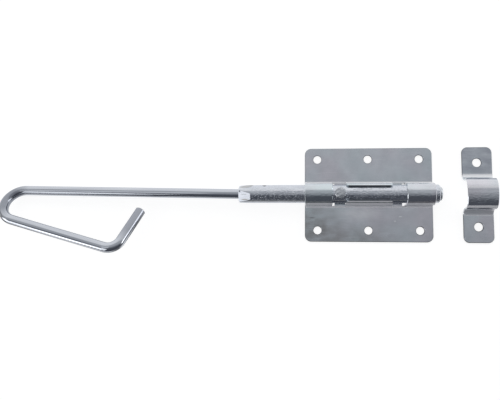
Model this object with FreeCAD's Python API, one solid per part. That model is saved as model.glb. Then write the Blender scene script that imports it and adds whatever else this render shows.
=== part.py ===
import FreeCAD, Part
import math
import os

# Zinc-plated gate bolt, lying on its back, in millimetres.
# A pressed plate holds a tubular bolt in two straps. Between the straps the arch is cut away
# to a slot with a wide gap at each end. A stud on the bolt runs in the slot, and in a gap it
# can be turned behind a lip, which locks the bolt. A bent wire handle is crimped in the tail
# of the bolt, and a separate keeper takes the nose.
#
# Origin: middle of the plate's four corner holes, on the mounting face (z = 0).
# +X: the way the bolt shoots, to the keeper. +Z: out of the mounting face.
# The handle's bow lies on the -Y side.
#
# Angles about the bolt are measured from +Z towards -Y.

# Sheet and plate
SHEET = 1.5
PLATE_LENGTH = 100.0
PLATE_HEIGHT = 75.0
PLATE_CORNER_RADIUS = 5.0
PLATE_HOLE_DIAMETER = 6.4
PLATE_HOLE_PITCH_X = 40.0
PLATE_HOLE_PITCH_Y = 57.0

# Bolt tube
TUBE_DIAMETER = 14.5
TUBE_WALL = 1.5
TUBE_LENGTH = 156.0
TUBE_REACH = 3.5          # from the plate's end to the tube's front end, bolt drawn back
TAIL_CHAMFER = 0.8
FRONT_CHAMFER = 0.5
BED_CLEARANCE = 0.2       # tube above the mounting face
STRAP_CLEARANCE = 0.25    # tube inside the straps

# Straps, lips and window of the plate
STRAP_WIDTH = 21.6
LIP_CORNER_RADIUS = 2.0
FOOT_RADIUS = 0.5         # fold between a flange and the arch, on the outer face
WINDOW_HALF_WIDTH = 6.7   # flat edge of the flange beside the gaps
LANCE_WIDTH = 0.1         # slit that frees the flat edge from the folds beside it
RELIEF_LENGTH = 2.0       # notch in the flat edge's corner next to a strap
RELIEF_HALF_WIDTH = 8.9
EDGE_CHAMFER = 0.4        # front edges of the sheet, rolled over by the blanking tool

# Stud
STUD_DIAMETER = 8.6
STUD_HEIGHT = 2.6         # above the tube
STUD_DOME = 0.5
STUD_CHAMFER = 0.3
STUD_SHANK_DIAMETER = 6.0
STUD_SHANK_INSIDE = 0.8   # past the inside of the tube's wall
STUD_SIDE_CLEARANCE = 0.65
STUD_LIP_GAP = 0.4        # to the lip's end when the bolt is drawn back
STUD_STRAP_GAP = 1.6      # to the strap then
PRESS_CLEARANCE = 0.02

# Nose plug
PLUG_LENGTH = 14.0
PLUG_PROUD = 2.2          # in front of the tube
PLUG_NOSE_RADIUS = 1.6
PLUG_CHAMFER = 0.5
PLUG_CLEARANCE = 0.05     # running fit in the tube

# Crimp and staking mark at the tail
CRIMP_LENGTH = 9.6
CRIMP_ANGLE = 24.0
CRIMP_TAPER = 8.0         # the flats run out of the tube towards the front
CRIMP_FLATS = 4
STAKE_FROM_TAIL = 20.3
STAKE_WIDTH = 4.0
STAKE_DEPTH = 0.6
STAKE_ANGLE = -85.0

# Wire handle
WIRE_DIAMETER = 8.0
WIRE_GRIP = 26.0          # length inside the tube
WIRE_RUN = 177.5          # straight from the tube to the first bend
WIRE_LEAN = 1.25          # the run leans this many degrees off the bolt's axis
WIRE_LEAN_RADIUS = 60.0
BOW_RADIUS = 15.0         # bend radii are those of the wire's centre line
BOW_LEG = 86.0
BOW_LEG_ANGLE = 17.0
TIP_BEND_RADIUS = 10.0
TIP_LENGTH = 30.5
TIP_ANGLE = 69.0
BOW_RAISED = 30.0         # the bow's plane above the mounting face
WIRE_END_CHAMFER = 0.5

# Keeper
KEEPER_GAP = 22.9         # from the plate's end
KEEPER_WIDTH = 23.0
KEEPER_LENGTH = 75.4
KEEPER_CORNER_RADIUS = 4.5
KEEPER_HOLE_DIAMETER = 6.8
KEEPER_HOLE_PITCH = 50.6
KEEPER_ARCH_WIDTH = 24.0
KEEPER_CROWN_RADIUS = 20.0
KEEPER_SHOULDER_RADIUS = 6.0
KEEPER_FOOT_RADIUS = 4.5
KEEPER_CLEARANCE = 0.25

# Sizes that follow from the ones above
TUBE_RADIUS = TUBE_DIAMETER / 2
BORE_RADIUS = TUBE_RADIUS - TUBE_WALL
AXIS_Z = BED_CLEARANCE + TUBE_RADIUS
FRONT_X = PLATE_LENGTH / 2 + TUBE_REACH
TAIL_X = FRONT_X - TUBE_LENGTH
STRAP_INNER_RADIUS = TUBE_RADIUS + STRAP_CLEARANCE
STRAP_OUTER_RADIUS = STRAP_INNER_RADIUS + SHEET
STRAP_INNER_X = PLATE_LENGTH / 2 - STRAP_WIDTH
STUD_RADIUS = STUD_DIAMETER / 2
LIP_END_X = STRAP_INNER_X - STUD_STRAP_GAP - STUD_DIAMETER - STUD_LIP_GAP
STUD_X = -(LIP_END_X + STUD_LIP_GAP + STUD_RADIUS)
SLOT_ANGLE = math.degrees(math.asin((STUD_RADIUS + STUD_SIDE_CLEARANCE) / STRAP_INNER_RADIUS))
WIRE_RADIUS = WIRE_DIAMETER / 2
CRIMP_INNER = WIRE_RADIUS + PRESS_CLEARANCE
CRIMP_OUTER = CRIMP_INNER + TUBE_WALL
KEEPER_X = PLATE_LENGTH / 2 + KEEPER_GAP + KEEPER_WIDTH / 2
SPARE = 5.0               # how far a cutter reaches past what it cuts
HAIR = 0.01               # sizes closer than this are the same


def point(x, y, z):
    return FreeCAD.Vector(x, y, z)


AXIS = point(0, 0, AXIS_Z)
X_DIRECTION = point(1, 0, 0)
Z_DIRECTION = point(0, 0, 1)


def polar(radius, angle, x=0.0):
    """A point beside the bolt's axis; the angle runs from +Z towards -Y."""
    turn = math.radians(angle)
    return point(x, -radius * math.sin(turn), AXIS_Z + radius * math.cos(turn))


def bar_x(radius, start, end):
    """A round bar on the bolt's axis."""
    return Part.makeCylinder(radius, end - start, AXIS + point(start, 0, 0), X_DIRECTION)


def box_between(low, high):
    return Part.makeBox(high.x - low.x, high.y - low.y, high.z - low.z, low)


def turned(shape, angle):
    """A copy turned about the bolt's axis, from +Z towards -Y."""
    copy = shape.copy()
    copy.rotate(AXIS, X_DIRECTION, angle)
    return copy


def turned_on_axis(edges):
    """The solid that a half profile sweeps about the bolt's axis; its points are (x, 0, radius)."""
    face = Part.Face(Part.Wire(edges))
    face.translate(AXIS)
    return face.revolve(AXIS, X_DIRECTION, 360)


def line(a, b):
    return Part.makeLine(a, b)


def arc(a, middle, b):
    return Part.Arc(a, middle, b).toShape()


def half_arch(depth, foot_y, foot_radius, arcs, flange_end):
    """Right half of the arch's line, from the crown down to the flange's end, in the YZ plane.

    depth is 0 on the outer face of the sheet and SHEET on the inner face. Each arc is
    (centre y, centre z, outer radius, angle it ends at), where angles run from the crown."""
    edges = []
    last = None
    start_angle = 0.0
    for centre_y, centre_z, outer_radius, end_angle in arcs:
        radius = outer_radius - depth
        places = []
        for angle in (start_angle, (start_angle + end_angle) / 2, end_angle):
            turn = math.radians(angle)
            places.append(point(0, centre_y + radius * math.sin(turn), centre_z + radius * math.cos(turn)))
        edges.append(arc(*places))
        last = places[2]
        start_angle = end_angle
    foot_z = SHEET + foot_radius
    radius = foot_radius + depth
    leg_end = point(0, foot_y - radius, foot_z)
    edges.append(line(last, leg_end))
    slant = radius * math.sqrt(0.5)
    foot_end = point(0, foot_y, foot_z - radius)
    edges.append(arc(leg_end, point(0, foot_y - slant, foot_z - slant), foot_end))
    edges.append(line(foot_end, point(0, flange_end, foot_z - radius)))
    return edges


def mirrored(edges):
    """The same edges on the -Y side."""
    return [edge.mirror(point(0, 0, 0), point(0, 1, 0)) for edge in edges]


def pressed_strip(length, height, arch_half_width, foot_radius, arcs):
    """A strip of sheet with an arch pressed up along its middle, centred on x = 0."""
    foot_y = arch_half_width + foot_radius
    outer = half_arch(0.0, foot_y, foot_radius, arcs, height / 2)
    inner = half_arch(SHEET, foot_y, foot_radius, arcs, height / 2)
    ends = [line(point(0, side * height / 2, 0), point(0, side * height / 2, SHEET)) for side in (-1, 1)]
    outline = Part.Wire(Part.__sortEdges__(outer + mirrored(outer) + inner + mirrored(inner) + ends))
    strip = Part.Face(outline).extrude(point(length, 0, 0))
    strip.translate(point(-length / 2, 0, 0))
    return strip


def with_round_corners(strip, length, height, radius):
    """The strip with its four flange corners rounded."""
    top = strip.BoundBox.ZMax + 2 * SPARE
    blank = Part.makeBox(length, height, top, point(-length / 2, -height / 2, -SPARE))
    upright = [edge for edge in blank.Edges if edge.BoundBox.ZLength > top - HAIR]
    return strip.common(blank.makeFillet(radius, upright))


def with_holes(strip, places, diameter):
    for x, y in places:
        strip = strip.cut(Part.makeCylinder(diameter / 2, SHEET + 2 * SPARE, point(x, y, -SPARE)))
    return strip


def on_front(face, bends):
    """Whether a face is a level or bent part of the sheet's front.

    Each bend is (radius, z that its faces stay above), because a bend of the back can have the
    radius of one of the front."""
    surface = face.Surface
    box = face.BoundBox
    if isinstance(surface, Part.Cylinder):
        along = abs(surface.Axis.x) > 1 - HAIR
        return along and any(abs(surface.Radius - radius) < HAIR and box.ZMin > low for radius, low in bends)
    return isinstance(surface, Part.Plane) and box.ZLength < HAIR and abs(box.ZMin - SHEET) < HAIR


def with_rolled_edges(sheet, bends, at_x=None):
    """The sheet with the rim of its front eased: all of it, or what lies this far from x = 0.

    A chamfer runs on along what is tangent to it, so the upright walls need no mention."""
    rim = []
    for edge in sheet.Edges:
        sides = [on_front(face, bends) for face in sheet.ancestorsOfType(edge, Part.Face)]
        box = edge.BoundBox
        wanted = at_x is None or (
            abs(abs(box.Center.x) - at_x) < HAIR and box.XLength < HAIR and box.ZMax > SHEET + HAIR
        )
        if wanted and sides.count(True) == 1 and sides.count(False) == 1:
            rim.append(edge)
    return sheet.makeChamfer(EDGE_CHAMFER, rim)


def window_gap(start, end):
    """Cutter for one wide gap, which takes away the arch and its folds."""
    foot_y = STRAP_OUTER_RADIUS + FOOT_RADIUS
    top = AXIS_Z + STRAP_OUTER_RADIUS + SPARE
    return box_between(point(start, -foot_y, -SPARE), point(end, foot_y, top))


def gap_tongue(strap_x, lip_x, side):
    """Flat edge of the flange beside a wide gap, where the sheet was never folded up."""
    inwards = math.copysign(1, lip_x - strap_x)
    lip_end = lip_x - inwards * LANCE_WIDTH

    def strip(strap_gap, near):
        start, end = sorted((strap_x + inwards * strap_gap, lip_end))
        low, high = sorted((side * near, side * (STRAP_OUTER_RADIUS + FOOT_RADIUS + SHEET)))
        return box_between(point(start, low, 0), point(end, high, SHEET))

    return strip(LANCE_WIDTH, RELIEF_HALF_WIDTH).fuse(strip(RELIEF_LENGTH, WINDOW_HALF_WIDTH))


def slot_cutter():
    """Wedge that opens the arch between the lips, with cut edges square to the sheet."""
    reach = 2 * STRAP_OUTER_RADIUS
    corners = [
        point(-LIP_END_X, 0, AXIS_Z),
        polar(reach, SLOT_ANGLE, -LIP_END_X),
        polar(reach, -SLOT_ANGLE, -LIP_END_X),
    ]
    face = Part.Face(Part.makePolygon(corners + corners[:1]))
    return face.extrude(point(2 * LIP_END_X, 0, 0))


def lip_corner_edges(plate):
    """The four short edges through the sheet at the lips' free corners."""
    found = []
    for edge in plate.Edges:
        middle = edge.valueAt((edge.FirstParameter + edge.LastParameter) / 2)
        at_end = abs(abs(middle.x) - LIP_END_X) < HAIR
        radius = math.hypot(middle.y, middle.z - AXIS_Z)
        in_sheet = STRAP_INNER_RADIUS < radius < STRAP_OUTER_RADIUS
        short = abs(edge.Length - SHEET) < HAIR
        if at_end and in_sheet and short and middle.z > AXIS_Z:
            found.append(edge)
    return found


def mounting_plate():
    arcs = [(0.0, AXIS_Z, STRAP_OUTER_RADIUS, 90.0)]
    plate = pressed_strip(PLATE_LENGTH, PLATE_HEIGHT, STRAP_OUTER_RADIUS, FOOT_RADIUS, arcs)
    plate = with_round_corners(plate, PLATE_LENGTH, PLATE_HEIGHT, PLATE_CORNER_RADIUS)
    columns = (-PLATE_HOLE_PITCH_X, 0.0, PLATE_HOLE_PITCH_X)
    places = [(x, side * PLATE_HOLE_PITCH_Y / 2) for x in columns for side in (-1, 1)]
    plate = with_holes(plate, places, PLATE_HOLE_DIAMETER)
    bends = [(STRAP_OUTER_RADIUS, SHEET), (FOOT_RADIUS, SHEET - HAIR)]
    plate = with_rolled_edges(plate, bends)
    for start, end in ((-STRAP_INNER_X, -LIP_END_X), (LIP_END_X, STRAP_INNER_X)):
        plate = plate.cut(window_gap(start, end))
    plate = with_rolled_edges(plate, bends, STRAP_INNER_X)
    plate = plate.cut(slot_cutter()).removeSplitter()
    plate = plate.makeFillet(LIP_CORNER_RADIUS, lip_corner_edges(plate))
    for end in (-1, 1):
        for side in (-1, 1):
            plate = plate.fuse(gap_tongue(end * STRAP_INNER_X, end * LIP_END_X, side))
    return plate.removeSplitter()


def keeper():
    half_width = KEEPER_ARCH_WIDTH / 2
    top = AXIS_Z + TUBE_RADIUS + KEEPER_CLEARANCE + SHEET
    crown_z = top - KEEPER_CROWN_RADIUS
    shoulder_y = half_width - KEEPER_SHOULDER_RADIUS
    between = KEEPER_CROWN_RADIUS - KEEPER_SHOULDER_RADIUS
    shoulder_z = crown_z + math.sqrt(between ** 2 - shoulder_y ** 2)
    crown_angle = math.degrees(math.asin(shoulder_y / between))
    arcs = [
        (0.0, crown_z, KEEPER_CROWN_RADIUS, crown_angle),
        (shoulder_y, shoulder_z, KEEPER_SHOULDER_RADIUS, 90.0),
    ]
    strip = pressed_strip(KEEPER_WIDTH, KEEPER_LENGTH, half_width, KEEPER_FOOT_RADIUS, arcs)
    strip = with_round_corners(strip, KEEPER_WIDTH, KEEPER_LENGTH, KEEPER_CORNER_RADIUS)
    strip = with_holes(strip, [(0.0, side * KEEPER_HOLE_PITCH / 2) for side in (-1, 1)], KEEPER_HOLE_DIAMETER)
    bends = [
        (KEEPER_CROWN_RADIUS, SHEET),
        (KEEPER_SHOULDER_RADIUS, SHEET),
        (KEEPER_FOOT_RADIUS, SHEET - HAIR),
    ]
    strip = with_rolled_edges(strip, bends)
    strip.translate(point(KEEPER_X, 0, 0))
    return strip


def square_bar(half_width, start, end):
    """A square bar on the bolt's axis, turned to the crimp's angle."""
    low = point(start, -half_width, AXIS_Z - half_width)
    high = point(end, half_width, AXIS_Z + half_width)
    return turned(box_between(low, high), CRIMP_ANGLE)


def crimp_flat(index):
    """Cutter for one flat that the crimping jaws press into the tail."""
    low = point(TAIL_X - SPARE, -TUBE_RADIUS, AXIS_Z + CRIMP_OUTER)
    high = point(TAIL_X + CRIMP_LENGTH, TUBE_RADIUS, AXIS_Z + TUBE_DIAMETER)
    jaw = box_between(low, high)
    jaw.rotate(point(TAIL_X, 0, AXIS_Z + CRIMP_OUTER), point(0, 1, 0), -CRIMP_TAPER)
    return turned(jaw, CRIMP_ANGLE + index * 360 / CRIMP_FLATS)


def crown_ball_radius(rim_radius, crown):
    """Radius of the ball whose cap is as wide as the rim and as high as the crown."""
    return (rim_radius ** 2 + crown ** 2) / (2 * crown)


def staking_mark():
    """Ball that leaves the small punched dimple in the tube's wall."""
    ball_radius = crown_ball_radius(STAKE_WIDTH / 2, STAKE_DEPTH)
    centre = polar(TUBE_RADIUS - STAKE_DEPTH + ball_radius, STAKE_ANGLE, TAIL_X + STAKE_FROM_TAIL)
    return Part.makeSphere(ball_radius, centre)


def bolt_tube():
    corners = [
        point(TAIL_X, 0, 0),
        point(TAIL_X, 0, TUBE_RADIUS - TAIL_CHAMFER),
        point(TAIL_X + TAIL_CHAMFER, 0, TUBE_RADIUS),
        point(FRONT_X - FRONT_CHAMFER, 0, TUBE_RADIUS),
        point(FRONT_X, 0, TUBE_RADIUS - FRONT_CHAMFER),
        point(FRONT_X, 0, 0),
    ]
    tube = turned_on_axis(Part.makePolygon(corners + corners[:1]).Edges)
    for index in range(CRIMP_FLATS):
        tube = tube.cut(crimp_flat(index))
    crimped_end = TAIL_X + CRIMP_LENGTH + TUBE_WALL
    crimped_bore = bar_x(BORE_RADIUS, TAIL_X - SPARE, crimped_end + SPARE)
    crimped_bore = crimped_bore.common(square_bar(CRIMP_INNER, TAIL_X - SPARE, crimped_end + SPARE))
    tube = tube.cut(crimped_bore).cut(bar_x(BORE_RADIUS, crimped_end, FRONT_X + SPARE))
    shank_radius = STUD_SHANK_DIAMETER / 2 + PRESS_CLEARANCE
    shank_hole = Part.makeCylinder(shank_radius, TUBE_DIAMETER, AXIS + point(STUD_X, 0, 0), Z_DIRECTION)
    return tube.cut(shank_hole).cut(staking_mark())


def nose_plug():
    nose_x = FRONT_X + PLUG_PROUD
    back_x = nose_x - PLUG_LENGTH
    plug = bar_x(BORE_RADIUS - PLUG_CLEARANCE, back_x, nose_x)
    nose_rim = [edge for edge in plug.Edges if edge.BoundBox.XMin > nose_x - HAIR]
    plug = plug.makeFillet(PLUG_NOSE_RADIUS, nose_rim)
    return plug.makeChamfer(PLUG_CHAMFER, [edge for edge in plug.Edges if edge.BoundBox.XMax < back_x + HAIR])


def locking_stud():
    foot = point(STUD_X, 0, AXIS_Z)
    top = TUBE_RADIUS + STUD_HEIGHT
    head = Part.makeCylinder(STUD_RADIUS, top, foot, Z_DIRECTION)
    ball_radius = crown_ball_radius(STUD_RADIUS, STUD_DOME)
    head = head.common(Part.makeSphere(ball_radius, foot + point(0, 0, top - ball_radius)))
    rim = [edge for edge in head.Edges if edge.BoundBox.ZMin > AXIS_Z + TUBE_RADIUS]
    head = head.makeChamfer(STUD_CHAMFER, rim)
    head = head.cut(bar_x(TUBE_RADIUS, STUD_X - TUBE_DIAMETER, STUD_X + TUBE_DIAMETER))
    shank_start = BORE_RADIUS - STUD_SHANK_INSIDE
    shank_length = top - STUD_DOME - STUD_CHAMFER - shank_start
    shank = Part.makeCylinder(STUD_SHANK_DIAMETER / 2, shank_length, foot + point(0, 0, shank_start))
    return head.fuse(shank).removeSplitter()


def bow_point(x, aside):
    """A point of the bow's plane: aside is the distance from the bolt's axis."""
    raised = math.radians(BOW_RAISED)
    return point(x, -aside * math.cos(raised), AXIS_Z + aside * math.sin(raised))


def wire_centre_line():
    """Straight runs joined by tangent bends, from inside the tube to the tip."""
    steps = [
        ("run", WIRE_GRIP),
        ("bend", WIRE_LEAN_RADIUS, 180 + WIRE_LEAN),
        ("run", WIRE_RUN),
        ("bend", BOW_RADIUS, BOW_LEG_ANGLE),
        ("run", BOW_LEG),
        ("bend", TIP_BEND_RADIUS, -TIP_ANGLE),
        ("run", TIP_LENGTH),
    ]
    x, aside, heading = TAIL_X + WIRE_GRIP, 0.0, 180.0
    edges = []
    for step in steps:
        start = bow_point(x, aside)
        if step[0] == "run":
            turn = math.radians(heading)
            x += step[1] * math.cos(turn)
            aside += step[1] * math.sin(turn)
            edges.append(line(start, bow_point(x, aside)))
            continue
        radius, new_heading = step[1], step[2]
        side = 1 if new_heading > heading else -1
        turn = math.radians(heading)
        centre_x = x - side * radius * math.sin(turn)
        centre_aside = aside + side * radius * math.cos(turn)
        places = []
        for angle in ((heading + new_heading) / 2, new_heading):
            turn = math.radians(angle)
            x = centre_x + side * radius * math.sin(turn)
            aside = centre_aside - side * radius * math.cos(turn)
            places.append(bow_point(x, aside))
        edges.append(arc(start, *places))
        heading = new_heading
    return edges


def handle_rod():
    start = point(TAIL_X + WIRE_GRIP, 0, AXIS_Z)
    ring = Part.Wire(Part.makeCircle(WIRE_RADIUS, start, X_DIRECTION))
    rod = Part.Wire(wire_centre_line()).makePipeShell([ring], True, False)
    ends = [edge for face in rod.Faces if isinstance(face.Surface, Part.Plane) for edge in face.Edges]
    return rod.makeChamfer(WIRE_END_CHAMFER, ends)


def write(name, shape):
    solid = shape.Solids[0] if len(shape.Solids) == 1 else shape
    solid.exportStep(os.path.join("parts", name + ".step"))
    box = solid.BoundBox
    print(
        f"{name}: {len(shape.Solids)} solid, valid {solid.isValid()}, {solid.Volume:.0f} mm3, "
        f"x {box.XMin:.2f} to {box.XMax:.2f}, y {box.YMin:.2f} to {box.YMax:.2f}, "
        f"z {box.ZMin:.2f} to {box.ZMax:.2f}"
    )


os.makedirs("parts", exist_ok=True)
write("mounting_plate", mounting_plate())
write("keeper", keeper())
write("bolt_tube", bolt_tube())
write("nose_plug", nose_plug())
write("locking_stud", locking_stud())
write("handle_rod", handle_rod())
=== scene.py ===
# %% [markdown]
# A zinc-plated gate bolt, lying on its back: a pressed plate carries a tubular bolt with a bent
# wire handle, and a keeper lies beside it. The solids come ready-made from the frame. This lesson
# sweeps the wire of the handle along its path, gives every piece its finish, and builds the
# studio that bright metal needs.

# %% Load the frame
import math

import bpy
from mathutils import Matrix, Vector


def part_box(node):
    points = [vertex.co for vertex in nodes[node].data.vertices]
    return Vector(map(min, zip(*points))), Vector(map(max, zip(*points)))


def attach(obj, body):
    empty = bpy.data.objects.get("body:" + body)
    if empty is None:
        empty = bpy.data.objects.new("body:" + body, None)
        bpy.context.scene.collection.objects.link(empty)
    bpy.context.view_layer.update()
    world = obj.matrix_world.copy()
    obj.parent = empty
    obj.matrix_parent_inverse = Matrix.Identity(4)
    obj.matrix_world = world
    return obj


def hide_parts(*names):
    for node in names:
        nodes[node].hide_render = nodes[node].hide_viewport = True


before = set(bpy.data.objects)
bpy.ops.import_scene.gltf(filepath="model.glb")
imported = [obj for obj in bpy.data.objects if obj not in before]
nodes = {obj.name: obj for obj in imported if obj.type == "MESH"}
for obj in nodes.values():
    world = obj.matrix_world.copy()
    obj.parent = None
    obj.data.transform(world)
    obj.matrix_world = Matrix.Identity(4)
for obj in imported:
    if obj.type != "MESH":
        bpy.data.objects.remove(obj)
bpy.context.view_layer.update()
MM = 0.001


# %% [markdown]
# Blender takes linear colours, while people write colours as sRGB hex. One function turns them.
# Pattern sizes are written in millimetres, as they would be measured on the real bolt, and one
# small function adds a node with its settings and its links.

# %% Small helpers
def colour(hex_text):
    """An sRGB hex colour as linear RGBA."""
    channels = [int(hex_text[i:i + 2], 16) / 255 for i in (1, 3, 5)]
    linear = [c / 12.92 if c <= 0.04045 else ((c + 0.055) / 1.055) ** 2.4 for c in channels]
    return (*linear, 1.0)


def per(size_mm):
    """The texture scale at which one feature of a pattern is this many millimetres wide."""
    return 1 / (size_mm * MM)


def add(tree, kind, inputs=None, **settings):
    """One node, with its settings, and its inputs as values or as sockets to link from."""
    node = tree.nodes.new(kind)
    for name, value in settings.items():
        setattr(node, name, value)
    for key, value in (inputs or {}).items():
        if isinstance(value, bpy.types.NodeSocket):
            tree.links.new(value, node.inputs[key])
        else:
            node.inputs[key].default_value = value
    return node


def ramp(tree, factor, stops):
    """A colour ramp from (place, linear colour) stops."""
    node = add(tree, "ShaderNodeValToRGB", {"Fac": factor})
    row = node.color_ramp.elements
    row[0].position, row[0].color = stops[0]
    row[1].position, row[1].color = stops[-1]
    for place, tint in stops[1:-1]:
        row.new(place).color = tint
    return node.outputs["Color"]


def between(tree, value, low, high):
    """0 below low, 1 above high."""
    return add(tree, "ShaderNodeMapRange", {"Value": value, "From Min": low, "From Max": high}).outputs["Result"]


def times(tree, a, b):
    return add(tree, "ShaderNodeMath", {0: a, 1: b}, operation="MULTIPLY").outputs[0]


def largest(tree, a, b):
    return add(tree, "ShaderNodeMath", {0: a, 1: b}, operation="MAXIMUM").outputs[0]


def spot(tree, place, centre_mm, half_size_mm, hardness=0.5):
    """A mask that is 1 inside an oval and fades to 0 at its edge."""
    away = add(tree, "ShaderNodeVectorMath", {0: place, 1: [v * MM for v in centre_mm]}, operation="SUBTRACT")
    share = add(tree, "ShaderNodeVectorMath", {0: away.outputs[0], 1: [per(v) for v in half_size_mm]},
                operation="MULTIPLY")
    reach = add(tree, "ShaderNodeVectorMath", {0: share.outputs[0]}, operation="LENGTH")
    return add(tree, "ShaderNodeMapRange", {"Value": reach.outputs["Value"], "From Min": 1.0,
                                            "From Max": hardness}).outputs["Result"]


# %% [markdown]
# The camera hangs over the table and looks nearly straight down, a little from the left and
# from below the plate. Its place was worked out from the corners and holes of the plate.

# %% Camera
CAMERA_PLACE = (-0.04981, -0.05205, 0.45324)
CAMERA_TURN = (0.1060, 0.0971, 0.0102)
CAMERA_LENS = 40.53
SENSOR_WIDTH = 36.0
NEAREST_SEEN = 0.01

scene = bpy.context.scene
lens = bpy.data.cameras.new("studio_camera")
lens.sensor_width = SENSOR_WIDTH
lens.lens = CAMERA_LENS
lens.clip_start = NEAREST_SEEN
camera = bpy.data.objects.new("studio_camera", lens)
camera.location = CAMERA_PLACE
camera.rotation_euler = CAMERA_TURN
scene.collection.objects.link(camera)
scene.camera = camera
scene.view_settings.view_transform = "Standard"
print("camera height in mm:", round(CAMERA_PLACE[2] / MM))


# %% [markdown]
# Metal looks like what it reflects, so its light is a picture of the room. Product photographers
# hang a light tent over such parts: a half round of cloth that is brightest low down behind the
# part, grey overhead, and black on the near side. It gives every round part a bright upper band,
# a grey middle and a dark lower band, and the white table below lights the undersides. One could
# use several lamps, but one cloth with a gradient has no gaps between them.

# %% Light tent
TENT_RADIUS = 1.2
TENT_HALF_LENGTH = 2.2
TENT_RIBS = 48
TENT_BACK_EDGE = 95       # degrees from straight up, positive to the back
TENT_LEVELS = {
    -95: (0.085, 0.090, 0.105),
    -30: (0.090, 0.096, 0.112),
    -19: (0.230, 0.240, 0.260),
    -5: (0.330, 0.340, 0.360),
    14: (0.530, 0.540, 0.560),
    21: (0.430, 0.440, 0.460),
    27: (0.470, 0.480, 0.500),
    33: (0.700, 0.705, 0.715),
    40: (0.880, 0.883, 0.885),
    50: (0.970, 0.970, 0.970),
    95: (1.000, 1.000, 1.000),
}
ROOM_GREY = 0.44


def staged_mesh(name, corners, faces):
    """A mesh of the studio, which is no part of the object."""
    mesh = bpy.data.meshes.new(name)
    mesh.from_pydata(corners, [], faces)
    piece = bpy.data.objects.new(name, mesh)
    scene.collection.objects.link(piece)
    return piece


ribs = []
for rib in range(TENT_RIBS + 1):
    turn = math.radians(TENT_BACK_EDGE * (2 * rib / TENT_RIBS - 1))
    for end in (-TENT_HALF_LENGTH, TENT_HALF_LENGTH):
        ribs.append((end, TENT_RADIUS * math.sin(turn), TENT_RADIUS * math.cos(turn)))
panels = [(2 * rib, 2 * rib + 1, 2 * rib + 3, 2 * rib + 2) for rib in range(TENT_RIBS)]
tent = staged_mesh("light_tent", ribs, panels)
tent.visible_camera = False
tent.visible_shadow = False

cloth = bpy.data.materials.new("glowing_tent_cloth")
cloth.use_nodes = True
tree = cloth.node_tree
tree.nodes.clear()
where = add(tree, "ShaderNodeSeparateXYZ", {0: add(tree, "ShaderNodeTexCoord").outputs["Object"]})
angle = add(tree, "ShaderNodeMath", {0: where.outputs["Y"], 1: where.outputs["Z"]}, operation="ARCTAN2")
share = add(tree, "ShaderNodeMapRange", {"Value": angle.outputs[0],
                                         "From Min": -math.radians(TENT_BACK_EDGE),
                                         "From Max": math.radians(TENT_BACK_EDGE)})
stops = [((at / TENT_BACK_EDGE + 1) / 2, (*level, 1.0)) for at, level in TENT_LEVELS.items()]
light = add(tree, "ShaderNodeEmission", {"Color": ramp(tree, share.outputs["Result"], stops)})
add(tree, "ShaderNodeOutputMaterial", {"Surface": light.outputs["Emission"]})
tent.data.materials.append(cloth)

world = bpy.data.worlds.new("pale_room")
world.use_nodes = True
world.node_tree.nodes["Background"].inputs["Color"].default_value = (ROOM_GREY, ROOM_GREY, ROOM_GREY, 1)
scene.world = world
print("tent panels:", len(panels))

# %% [markdown]
# Four softboxes stand inside the tent. One at the near left lights the near side of the handle and
# the crimp. A long low one at the left gives the bow its white lower edge. A dim one hangs over the
# handle, and one at the far right end lights the tip and the nose, which face that way. Each is
# wide and soft, so its reflection is a clean band instead of a hard spark.

# %% Softboxes
WATTS_PER_RADIANCE = 4.0  # of a square metre of area lamp, which spreads its power over a half sphere

SOFTBOXES = {
    # name: (place, aim, width, height, radiance)
    "softbox_near_left": ((-0.745, -0.64, 0.52), (-0.16, 0.0, 0.0), 0.54, 0.72, 0.90),
    "softbox_low_left": ((-0.93, -0.35, 0.21), (-0.22, -0.03, 0.02), 0.56, 0.38, 1.35),
    "softbox_over_handle": ((-0.65, -0.08, 1.08), (-0.65, -0.08, 0.0), 0.60, 0.55, 0.26),
    "softbox_far_right": ((0.90, 0.08, 0.22), (-0.10, 0.0, 0.02), 0.80, 0.32, 1.80),
}
for name, (box_place, aim, width, height, radiance) in SOFTBOXES.items():
    lamp = bpy.data.lights.new(name, "AREA")
    lamp.shape = "RECTANGLE"
    lamp.size = width
    lamp.size_y = height
    lamp.energy = radiance * WATTS_PER_RADIANCE * width * height
    softbox = bpy.data.objects.new(name, lamp)
    softbox.location = box_place
    softbox.rotation_euler = (Vector(aim) - Vector(box_place)).to_track_quat("-Z", "Y").to_euler()
    softbox.visible_camera = False
    scene.collection.objects.link(softbox)
    print(name, "in watts:", round(lamp.energy, 2))


# %% [markdown]
# The floor is a white light table. Its paper gives the camera some light of its own, so that the
# background is white while the parts still cast a faint shadow on it. In the metal the lit part
# shows as a bright line low on each round part. It reaches only a few centimetres forward, and
# further under the bow, because a wide bright floor would wash out the dark lower bands.

# %% Floor
FLOOR_HALF = 3.0
FLOOR_GLOW = 0.84
FLOOR_PAPER = "#9a9a9a"
LIT_FULLY_FROM = -8       # mm in Y
LIT_AT_ALL_FROM = -36
LIT_PATCHES = [
    ((-300, -135, 0), (140, 85, 10)),
    ((-145, -58, 0), (45, 26, 10)),
]

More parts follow.
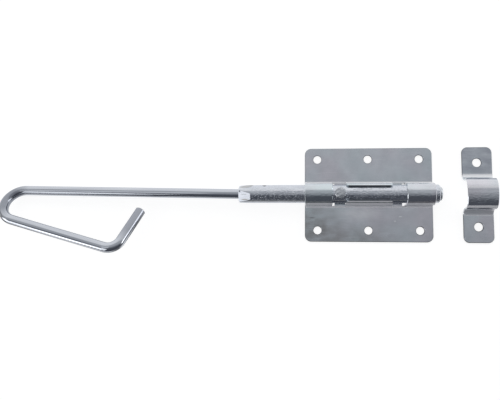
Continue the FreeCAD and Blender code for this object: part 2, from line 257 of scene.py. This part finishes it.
corners = [(x * FLOOR_HALF, y * FLOOR_HALF, 0.0) for x, y in ((-1, -1), (1, -1), (1, 1), (-1, 1))]
floor = staged_mesh("floor", corners, [(0, 1, 2, 3)])
paper = bpy.data.materials.new("white_table_paper")
paper.use_nodes = True
tree = paper.node_tree
tree.nodes.clear()
rays = add(tree, "ShaderNodeLightPath").outputs
place = add(tree, "ShaderNodeTexCoord").outputs["Object"]
forward = add(tree, "ShaderNodeSeparateXYZ", {0: place}).outputs["Y"]
lit = between(tree, forward, LIT_AT_ALL_FROM * MM, LIT_FULLY_FROM * MM)
for centre, half_size in LIT_PATCHES:
    lit = largest(tree, lit, spot(tree, place, centre, half_size, 0.7))
seen = largest(tree, rays["Is Camera Ray"], lit)
light = add(tree, "ShaderNodeEmission", {"Strength": times(tree, seen, FLOOR_GLOW)})
matt = add(tree, "ShaderNodeBsdfDiffuse", {"Color": colour(FLOOR_PAPER)})
both = add(tree, "ShaderNodeAddShader", {0: light.outputs[0], 1: matt.outputs[0]})
add(tree, "ShaderNodeOutputMaterial", {"Surface": both.outputs[0]})
floor.data.materials.append(paper)


# %% [markdown]
# Every part is low-carbon steel with a thin coat of bright, blue-passivated zinc. The coat is
# metallic and fairly smooth, so each finish starts from one metal shader and adds what its own
# piece had done to it: pressing, drawing, turning or handling. Patterns read Object coordinates,
# so they stay on the piece whichever way it moves.

# %% Shared start of a finish
def zinc_material(name, base, roughness):
    """A metal material: itself, its tree, its shader, and object coordinates."""
    material = bpy.data.materials.new(name)
    material.use_nodes = True
    tree = material.node_tree
    tree.nodes.clear()
    shader = add(tree, "ShaderNodeBsdfPrincipled", {"Base Color": colour(base), "Metallic": 1.0,
                                                    "Roughness": roughness})
    add(tree, "ShaderNodeOutputMaterial", {"Surface": shader.outputs["BSDF"]})
    place = add(tree, "ShaderNodeTexCoord").outputs["Object"]
    return material, tree, shader, place


def noise(tree, place, size_mm, detail=2.0, stretch=(1.0, 1.0, 1.0)):
    """Noise with features of this size; a stretch makes them that many times longer."""
    shape = [1 / s for s in stretch]
    spread = add(tree, "ShaderNodeVectorMath", {0: place, 1: shape}, operation="MULTIPLY").outputs[0]
    return add(tree, "ShaderNodeTexNoise", {"Vector": spread, "Scale": per(size_mm), "Detail": detail}).outputs["Fac"]


def painted(tree, mask, under, over):
    """The colour under, with the colour over where the mask is 1."""
    mix = add(tree, "ShaderNodeMix", {"Factor": mask}, data_type="RGBA")
    for socket, tint in (("A", under), ("B", over)):
        plug = [s for s in mix.inputs if s.name == socket and s.type == "RGBA"][0]
        if isinstance(tint, bpy.types.NodeSocket):
            tree.links.new(tint, plug)
        else:
            plug.default_value = tint
    return [s for s in mix.outputs if s.type == "RGBA"][0]


# %% [markdown]
# The plate and the keeper are pressed from cold-rolled sheet and plated afterwards. Their skin is
# satin, with soft clouds of blue-green and mauve from the passivation and fine rubbing marks from
# the plating barrel. A pale painted highlight runs along the start of each fold, white matt bands
# are painted highlights on the fold walls and lips, and the cut faces are darkened as painted
# shade. The plate's lower left has brown stains and a few knocks. Noise gives the clouds,
# stretched noise with a high threshold gives scratches, and ovals place the marks where they are
# on the real one; one more oval is a band of painted shade on the keeper's back fold.

# %% Pressed sheet
SHEET_BASE = "#d7dce2"
SHEET_ROUGHNESS = 0.16
PAINTED_BRIGHT_METALLIC = 0.0
PAINTED_BRIGHT_FADE = 0.25          # mm over which a painted highlight band ends
PEEL_DEPTH = 0.05
SHEARED_AND_SHADED_FADE = 0.04
SHEARED_ROUGHNESS = 0.5
SHEARED_AND_SHADED_PLACES = [
    # the rims of the flat sheet, whose top is at 1.5 mm, and the two cut faces of the slot, darkened as painted shade
    ((-60, -45, -1), (110, 45, 1.44)),
    ((-15.9, -6.0, 12.9), (15.9, -4.9, 14.25)),
    ((-15.9, 4.9, 12.9), (15.9, 6.0, 14.25)),
]


def within(tree, side, low, high, fade):
    """A mask that is 1 between two corners in mm and fades to 0 just outside them."""
    inside = 1.0
    for axis, start, end in zip("XYZ", low, high):
        along = side.outputs[axis]
        inside = times(tree, inside, between(tree, along, (start - fade) * MM, start * MM))
        inside = times(tree, inside, between(tree, along, (end + fade) * MM, end * MM))
    return inside


def sheet_material(name, fold_highlight_y, painted_bright_bands, marks):
    """Zinc-plated pressed sheet; its painted highlight line and painted highlight bands are placed in mm."""
    material, tree, shader, place = zinc_material(name, SHEET_BASE, SHEET_ROUGHNESS)
    clouds = noise(tree, place, 34, 1.5)
    tint = ramp(tree, clouds, [(0.36, colour("#cfd8dd")), (0.50, colour(SHEET_BASE)), (0.64, colour("#d7d6dd"))])
    patches = between(tree, noise(tree, place, 9, 3.0), 0.35, 0.75)
    tint = painted(tree, times(tree, patches, 0.35), tint, colour("#b4babf"))
    # the marks are stains and knocks, and on the keeper also one band of painted shade
    for centre, half_size, hardness, strength, stain_and_shade in marks:
        mask = times(tree, spot(tree, place, centre, half_size, hardness), strength)
        if max(half_size) > BROAD_MARK:
            mask = times(tree, mask, between(tree, noise(tree, place, 5, 4.0, (2, 1, 1)), 0.2, 0.6))
        tint = painted(tree, mask, tint, colour(stain_and_shade))
    side = add(tree, "ShaderNodeSeparateXYZ", {0: place})
    # painted highlight: a pale line along the start of each fold, where its rounded edge catches light
    out = add(tree, "ShaderNodeMath", {0: side.outputs["Y"]}, operation="ABSOLUTE").outputs[0]
    off = add(tree, "ShaderNodeMath", {0: out, 1: fold_highlight_y * MM}, operation="SUBTRACT").outputs[0]
    off = add(tree, "ShaderNodeMath", {0: off}, operation="ABSOLUTE").outputs[0]
    line = between(tree, off, FOLD_HIGHLIGHT_HALF * MM, 0.3 * FOLD_HIGHLIGHT_HALF * MM)
    low = between(tree, side.outputs["Z"], 2.6 * MM, 2.2 * MM)
    line = times(tree, line, low)
    tint = painted(tree, times(tree, line, 0.6), tint, colour("#eef1f4"))
    scratches = between(tree, noise(tree, place, 0.45, 1.0, (40, 1, 1)), 0.66, 0.72)
    tint = painted(tree, times(tree, scratches, 0.35), tint, colour("#e6eaee"))
    # painted highlight: white matt bands where the fold walls and lips show bright reflections
    painted_bright = 0.0
    for low, high, strength in painted_bright_bands:
        painted_bright = largest(tree, painted_bright, times(tree, within(tree, side, low, high, PAINTED_BRIGHT_FADE), strength))
    tint = painted(tree, painted_bright, tint, colour("#fcfcff"))
    sheared_and_shaded = 0.0
    for low, high in SHEARED_AND_SHADED_PLACES:
        sheared_and_shaded = largest(tree, sheared_and_shaded, within(tree, side, low, high, SHEARED_AND_SHADED_FADE))
    # painted shade: the cut faces and rims darker, for the dark line in the slot's gap and the plate's dark outline;
    # they are also rougher
    tint = painted(tree, times(tree, sheared_and_shaded, 0.8), tint, colour("#5c6068"))
    metal = add(tree, "ShaderNodeMapRange", {"Value": painted_bright, "To Min": 1.0, "To Max": PAINTED_BRIGHT_METALLIC}).outputs["Result"]
    tree.links.new(metal, shader.inputs["Metallic"])
    tree.links.new(tint, shader.inputs["Base Color"])
    rough = add(tree, "ShaderNodeMapRange", {"Value": noise(tree, place, 5, 2.0), "To Min": SHEET_ROUGHNESS - 0.04,
                                             "To Max": SHEET_ROUGHNESS + 0.06}).outputs["Result"]
    rough = largest(tree, rough, times(tree, sheared_and_shaded, SHEARED_ROUGHNESS))
    tree.links.new(rough, shader.inputs["Roughness"])
    grain = add(tree, "ShaderNodeBump", {"Height": noise(tree, place, 1.1, 2.0, (3, 1, 1)), "Strength": 0.2,
                                         "Distance": 0.03 * MM})
    stretched = times(tree, between(tree, side.outputs["Z"], 6 * MM, 9 * MM),
                      between(tree, side.outputs["Y"], 3 * MM, -1 * MM))
    peel = times(tree, between(tree, noise(tree, place, 1.5, 1.0, (2, 1, 1)), 0.50, 0.60), stretched)
    peel = add(tree, "ShaderNodeBump", {"Height": peel, "Strength": 0.8, "Distance": PEEL_DEPTH * MM,
                                        "Normal": grain.outputs["Normal"]})
    dents = add(tree, "ShaderNodeBump", {"Height": noise(tree, place, 16, 1.0), "Strength": 0.5,
                                         "Distance": 0.25 * MM, "Normal": peel.outputs["Normal"]})
    tree.links.new(dents.outputs["Normal"], shader.inputs["Normal"])
    return material


BROAD_MARK = 6.0
# half width in mm of the painted highlight line along each fold
FOLD_HIGHLIGHT_HALF = 0.7
PLATE_MARKS = [
    ((-46, -26, 1.5), (34, 24, 3), 0.2, 0.75, "#9b9a99"),
    ((-12, -37, 1.5), (42, 16, 3), 0.2, 0.55, "#9d9b99"),
    ((-35, -27, 1.5), (3.0, 6.5, 2), 0.2, 0.45, "#8a8784"),
    ((-44.5, -18.4, 1.5), (3.2, 0.9, 1), 0.2, 0.6, "#77797b"),
    ((-8, -15, 1.5), (20, 7, 2), 0.2, 0.75, "#f0f2f5"),
    ((46, 24, 1.5), (30, 24, 2), 0.2, 0.35, "#b3bcc4"),
    ((24.8, -17.4, 1.5), (1.6, 0.6, 1), 0.5, 0.8, "#f2f4f6"),
    ((20.6, -21.1, 1.5), (0.8, 0.8, 1), 0.5, 0.8, "#f2f4f6"),
]
# boxes in mm of painted highlight on the plate's folds and lips, and how strongly
PLATE_PAINTED_BRIGHT = [
    ((-50, -8.85, 8.0), (50, -7.85, 14.0), 1.0),
    ((-50, -10.3, 0.5), (50, -8.8, 5.0), 0.8),
    ((-50, 7.9, 4.0), (50, 9.2, 14.0), 1.0),
    ((-50, 9.2, 0.5), (50, 10.4, 2.0), 0.6),
    ((-17, -6.9, 12.5), (17, -6.4, 15.0), 0.9),
]
# boxes in mm of painted highlight on the keeper's folds and top, and how strongly
KEEPER_PAINTED_BRIGHT = [
    ((70, -11.2, 10.0), (100, -9.8, 15.0), 1.0),
    ((70, -16.3, 0.5), (100, -11.9, 8.0), 0.55),
    ((70, 13.6, 0.5), (100, 16.0, 5.0), 0.8),
    ((70, 3.2, 15.0), (100, 4.9, 17.0), 0.45),
]
plate_zinc = sheet_material("zinc_plated_pressed_plate", 9.9, PLATE_PAINTED_BRIGHT, PLATE_MARKS)
KEEPER_MARKS_AND_SHADE = [
    ((84.4, 30, 1.5), (26, 20, 3), 0.5, 0.9, "#b0b5be"),
    # painted shade: a dark grey band along the steep back wall of the keeper's fold
    ((84.4, 11.0, 12.5), (40, 1.1, 2.4), 0.4, 0.9, "#6d7384"),
]
keeper_zinc = sheet_material("zinc_plated_pressed_keeper", 16.3, KEEPER_PAINTED_BRIGHT, KEEPER_MARKS_AND_SHADE)
print("marks on the plate:", len(PLATE_MARKS))


# %% [markdown]
# The bolt is a length of drawn tube. It is brighter than the sheet, and its long slide through
# the plating barrel has left it finely pitted, which shows as a sparkle in the dark band. Pits
# about a millimetre wide bend the reflection a little, and a second, lighter layer varies the tone.

# %% Tube
TUBE_BASE = "#cdd1d9"
TUBE_MARKS_AND_SHADE = [
    # place, half size, hardness, strength, colour
    # painted shade: a grey patch on the upper side beside the crimp, where its dimple is
    ((-97, 6.5, 11), (6.5, 3.5, 4), 0.7, 0.8, "#8f9091"),
    # painted shade: a dark line along the lower edge of the crimp's flat
    ((-97.6, -4.9, 12.05), (4.2, 0.65, 1.0), 0.5, 0.75, "#8a857d"),
    # a faint grey line across the top of the crimp's flat
    ((-98.0, -1.0, 13.7), (3.4, 0.5, 0.9), 0.5, 0.45, "#9a9aa0"),
    # painted shade: a dark spot in the corner where the handle's wire enters the crimp
    ((-101.5, 1.4, 14.3), (0.9, 1.1, 1.2), 0.5, 0.85, "#4b4d55"),
    # painted shade: a dark spot in the staking dent
    ((-81.9, 6.1, 11.3), (1.9, 1.2, 1.6), 0.5, 0.8, "#4b4d55"),
]
tube_zinc, tree, shader, place = zinc_material("zinc_plated_drawn_tube", TUBE_BASE, 0.12)
tone = between(tree, noise(tree, place, 3.5, 3.0, (3, 1, 1)), 0.3, 0.7)
tint = painted(tree, times(tree, tone, 0.5), colour("#d6dae1"), colour("#b9bec8"))
for centre, half_size, hardness, strength, stain_and_shade in TUBE_MARKS_AND_SHADE:
    mask = times(tree, spot(tree, place, centre, half_size, hardness), strength)
    tint = painted(tree, mask, tint, colour(stain_and_shade))
tree.links.new(tint, shader.inputs["Base Color"])
dotted = between(tree, noise(tree, place, 1.1, 1.0, (1.5, 1, 1)), 0.55, 0.62)
past_jaws = between(tree, add(tree, "ShaderNodeSeparateXYZ", {0: place}).outputs["X"], -93 * MM, -91 * MM)
pits = add(tree, "ShaderNodeBump", {"Height": times(tree, dotted, past_jaws), "Strength": 0.9,
                                    "Distance": 0.10 * MM})
tree.links.new(pits.outputs["Normal"], shader.inputs["Normal"])

# %% [markdown]
# The stud and the nose plug are turned from bar, so they keep fine rings about their own axis.
# Real tool marks are a tenth of a millimetre apart. They are drawn a little coarser to show.

# %% Turned steel
RING_PITCH = 0.45
WAVE_FACTOR = 2 * math.pi / 20
KNOCK_SIZE = 1.8           # mm
KNOCK_DEPTH = 0.7


def turned_material(name, axis, centre):
    """Zinc-plated turned steel with rings about an axis through a point in metres."""
    material, tree, shader, place = zinc_material(name, "#ccd0d6", 0.2)
    middle = add(tree, "ShaderNodeVectorMath", {0: place, 1: centre}, operation="SUBTRACT").outputs[0]
    rings = add(tree, "ShaderNodeTexWave", {"Vector": middle, "Scale": WAVE_FACTOR * per(RING_PITCH),
                                            "Distortion": 0.6}, wave_type="RINGS", rings_direction=axis)
    bump = add(tree, "ShaderNodeBump", {"Height": rings.outputs["Fac"], "Strength": 0.4, "Distance": 0.02 * MM})
    bump = add(tree, "ShaderNodeBump", {"Height": noise(tree, place, KNOCK_SIZE, 2.0), "Strength": 0.8,
                                        "Distance": KNOCK_DEPTH * MM, "Normal": bump.outputs["Normal"]})
    tree.links.new(bump.outputs["Normal"], shader.inputs["Normal"])
    worn = between(tree, noise(tree, place, 1.6, 2.0), 0.35, 0.65)
    tree.links.new(painted(tree, times(tree, worn, 0.5), colour("#d5d8dc"), colour("#b3b8c0")),
                   shader.inputs["Base Color"])
    return material


def middle_of(name):
    low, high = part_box(name)
    return (Vector(low) + Vector(high)) / 2


plug_zinc = turned_material("zinc_plated_turned_plug", "X", middle_of("nose_plug"))
stud_zinc = turned_material("zinc_plated_turned_stud", "Z", middle_of("locking_stud"))


# %% [markdown]
# The handle is one length of 8 mm drawn wire. A die leaves fine lines along the wire, and they
# follow every bend. So its pattern doesn't read the place in space but where each point of the
# skin was when the wire was still straight, which the sweep below stores as an attribute. The
# bend at the far end and the tip are painted darker.

# %% Drawn wire
DRAWN_PLACE = "place_when_straight"
DARKER_LENGTHS = [(208, 240, 0.75), (352, 390, 0.6)]   # from, to in mm along the wire, and how much
wire_zinc, tree, shader, place = zinc_material("zinc_plated_drawn_wire", "#c3c6ce", 0.11)
place = add(tree, "ShaderNodeAttribute", attribute_name=DRAWN_PLACE).outputs["Vector"]
lines = noise(tree, place, 0.6, 2.0, (60, 1, 1))
tone = between(tree, lines, 0.3, 0.7)
tint = painted(tree, times(tree, tone, 0.6), colour("#ccd0d7"), colour("#aeb2bc"))
along = add(tree, "ShaderNodeSeparateXYZ", {0: place}).outputs["X"]
# the bend and the tip are painted darker over their length
for start, end, strength in DARKER_LENGTHS:
    darker_stretch = times(tree, between(tree, along, (start - 6) * MM, (start + 6) * MM),
                   between(tree, along, (end + 6) * MM, (end - 6) * MM))
    tint = painted(tree, times(tree, darker_stretch, strength), tint, colour("#7d818b"))
tree.links.new(tint, shader.inputs["Base Color"])
grooves = add(tree, "ShaderNodeBump", {"Height": lines, "Strength": 0.4, "Distance": 0.03 * MM})
tree.links.new(grooves.outputs["Normal"], shader.inputs["Normal"])

# %% [markdown]
# A wire bender feeds straight wire and turns it round pins, so the handle is straight runs joined
# by tangent bends. The same few steps lay out the centre line here: so far along, then a bend of
# this radius to that heading. A curve drawn by hand would not keep the radii true.

# %% Path of the wire
WIRE_DIAMETER = 8.0
WIRE_END_CHAMFER = 0.5
WIRE_GRIP = 26.0
WIRE_RUN = 177.5
WIRE_LEAN = 1.25
WIRE_LEAN_RADIUS = 60.0
BOW_RADIUS = 15.0
BOW_LEG = 86.0
BOW_LEG_ANGLE = 17.0
TIP_BEND_RADIUS = 10.0
TIP_LENGTH = 30.5
TIP_ANGLE = 69.0
BOW_RAISED = 30.0
BEND_STEP = 3.0           # degrees of bend from one point to the next

WIRE_STEPS = [
    ("run", WIRE_GRIP),
    ("bend", WIRE_LEAN_RADIUS, 180 + WIRE_LEAN),
    ("run", WIRE_RUN),
    ("bend", BOW_RADIUS, BOW_LEG_ANGLE),
    ("run", BOW_LEG),
    ("bend", TIP_BEND_RADIUS, -TIP_ANGLE),
    ("run", TIP_LENGTH),
]


def wire_path(start_x, axis_z):
    """Points of the centre line in metres, from inside the tube to the tip."""
    raised = math.radians(BOW_RAISED)
    flat = [(start_x, 0.0)]
    heading = 180.0

    def forward(length):
        turn = math.radians(heading)
        x, aside = flat[-1]
        flat.append((x + length * math.cos(turn), aside + length * math.sin(turn)))

    for step in WIRE_STEPS:
        if step[0] == "run":
            forward(WIRE_END_CHAMFER)
            forward(step[1] - 2 * WIRE_END_CHAMFER)
            forward(WIRE_END_CHAMFER)
            continue
        radius, new_heading = step[1], step[2]
        count = math.ceil(abs(new_heading - heading) / BEND_STEP)
        part = (new_heading - heading) / count
        chord = 2 * radius * math.sin(math.radians(abs(part)) / 2)
        for _ in range(count):
            heading += part / 2
            forward(chord)
            heading += part / 2
    return [(x * MM, -aside * math.cos(raised) * MM, axis_z + aside * math.sin(raised) * MM) for x, aside in flat]


rod_low, rod_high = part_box("handle_rod")
axis_z = middle_of("bolt_tube").z
path = wire_path(rod_high[0] / MM, axis_z)
path_mesh = bpy.data.meshes.new("handle_path")
path_mesh.from_pydata(path, [(i, i + 1) for i in range(len(path) - 1)], [])
handle = bpy.data.objects.new("drawn_wire_handle", path_mesh)
scene.collection.objects.link(handle)
print("points on the wire's path:", len(path))

# %% [markdown]
# Geometry Nodes sweep a circle along the path. Near both ends the circle shrinks, which cuts the
# small chamfer of a cropped wire. The length along the path and the place on the circle are
# captured before the sweep, and together they are the place when straight.

# %% Sweep of the wire
sweep = bpy.data.node_groups.new("swept_wire", "GeometryNodeTree")
made = sweep.interface
made.new_socket("Geometry", in_out="OUTPUT", socket_type="NodeSocketGeometry")
made.new_socket("Path", in_out="INPUT", socket_type="NodeSocketGeometry")
WIRE_INPUTS = {
    "Radius": ("NodeSocketFloat", WIRE_DIAMETER / 2 * MM),
    "End chamfer": ("NodeSocketFloat", WIRE_END_CHAMFER * MM),
    "Sides": ("NodeSocketInt", 64),
    "Finish": ("NodeSocketMaterial", wire_zinc),
}
sockets = {}
for name, (kind, _) in WIRE_INPUTS.items():
    sockets[name] = made.new_socket(name, in_out="INPUT", socket_type=kind).identifier

given = add(sweep, "NodeGroupInput").outputs
curve = add(sweep, "GeometryNodeMeshToCurve", {"Mesh": given["Path"]}).outputs["Curve"]
along = add(sweep, "GeometryNodeSplineParameter").outputs["Length"]
whole = add(sweep, "GeometryNodeSplineLength").outputs["Length"]
left = add(sweep, "ShaderNodeMath", {0: whole, 1: along}, operation="SUBTRACT").outputs[0]
nearest = add(sweep, "ShaderNodeMath", {0: along, 1: left}, operation="MINIMUM").outputs[0]
cut = add(sweep, "ShaderNodeMath", {0: given["End chamfer"], 1: nearest}, operation="SUBTRACT").outputs[0]
cut = add(sweep, "ShaderNodeMath", {0: cut, 1: 0.0}, operation="MAXIMUM").outputs[0]
radius = add(sweep, "ShaderNodeMath", {0: given["Radius"], 1: cut}, operation="SUBTRACT").outputs[0]

keep_along = add(sweep, "GeometryNodeCaptureAttribute")
keep_along.capture_items.new("FLOAT", "Along")
sweep.links.new(curve, keep_along.inputs["Geometry"])
sweep.links.new(along, keep_along.inputs["Along"])
ring = add(sweep, "GeometryNodeCurvePrimitiveCircle", {"Resolution": given["Sides"], "Radius": 1.0})
keep_round = add(sweep, "GeometryNodeCaptureAttribute")
keep_round.capture_items.new("VECTOR", "Round")
sweep.links.new(ring.outputs["Curve"], keep_round.inputs["Geometry"])
sweep.links.new(add(sweep, "GeometryNodeInputPosition").outputs[0], keep_round.inputs["Round"])

skin = add(sweep, "GeometryNodeCurveToMesh", {"Curve": keep_along.outputs["Geometry"],
                                              "Profile Curve": keep_round.outputs["Geometry"],
                                              "Scale": radius, "Fill Caps": True}).outputs["Mesh"]
on_circle = add(sweep, "ShaderNodeVectorMath", {0: keep_round.outputs["Round"]}, operation="SCALE")
sweep.links.new(given["Radius"], on_circle.inputs["Scale"])
on_circle = add(sweep, "ShaderNodeSeparateXYZ", {0: on_circle.outputs[0]})
straight = add(sweep, "ShaderNodeCombineXYZ", {"X": keep_along.outputs["Along"], "Y": on_circle.outputs["X"],
                                               "Z": on_circle.outputs["Y"]}).outputs[0]
skin = add(sweep, "GeometryNodeStoreNamedAttribute", {"Geometry": skin, "Name": DRAWN_PLACE, "Value": straight},
           data_type="FLOAT_VECTOR", domain="POINT").outputs["Geometry"]
skin = add(sweep, "GeometryNodeSetShadeSmooth", {"Geometry": skin, "Shade Smooth": True}).outputs["Geometry"]
bent = add(sweep, "GeometryNodeInputMeshEdgeAngle").outputs["Unsigned Angle"]
SHARP_FROM = math.radians(25)
sharp = add(sweep, "FunctionNodeCompare", {"A": bent, "B": SHARP_FROM}, operation="GREATER_THAN").outputs[0]
skin = add(sweep, "GeometryNodeSetShadeSmooth", {"Geometry": skin, "Selection": sharp, "Shade Smooth": False},
           domain="EDGE").outputs["Geometry"]
skin = add(sweep, "GeometryNodeSetMaterial", {"Geometry": skin, "Material": given["Finish"]}).outputs["Geometry"]
skin = add(sweep, "GeometryNodeRealizeInstances", {"Geometry": skin}).outputs["Geometry"]
add(sweep, "NodeGroupOutput", {"Geometry": skin})

# %% Wire as a plain mesh
modifier = handle.modifiers.new("sweep", "NODES")
modifier.node_group = sweep
for name, (_, value) in WIRE_INPUTS.items():
    modifier[sockets[name]] = value
bpy.context.view_layer.update()
swept = bpy.data.meshes.new_from_object(handle.evaluated_get(bpy.context.evaluated_depsgraph_get()))
handle.modifiers.remove(modifier)
handle.data = swept
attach(handle, "bolt")
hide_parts("handle_rod")
xs, ys, zs = zip(*[v.co for v in swept.vertices])
print("wire faces:", len(swept.polygons), "box in mm:",
      [round(v / MM, 2) for v in (min(xs), max(xs), min(ys), max(ys), min(zs), max(zs))],
      "solid's box:", [round(v / MM, 2) for pair in zip(rod_low, rod_high) for v in pair])


# %% Finishes on the pieces from the frame
finishes = {
    "mounting_plate": plate_zinc,
    "keeper": keeper_zinc,
    "bolt_tube": tube_zinc,
    "nose_plug": plug_zinc,
    "locking_stud": stud_zinc,
}
for name, material in finishes.items():
    nodes[name].material_slots[0].material = material
print("finished:", ", ".join(finishes))
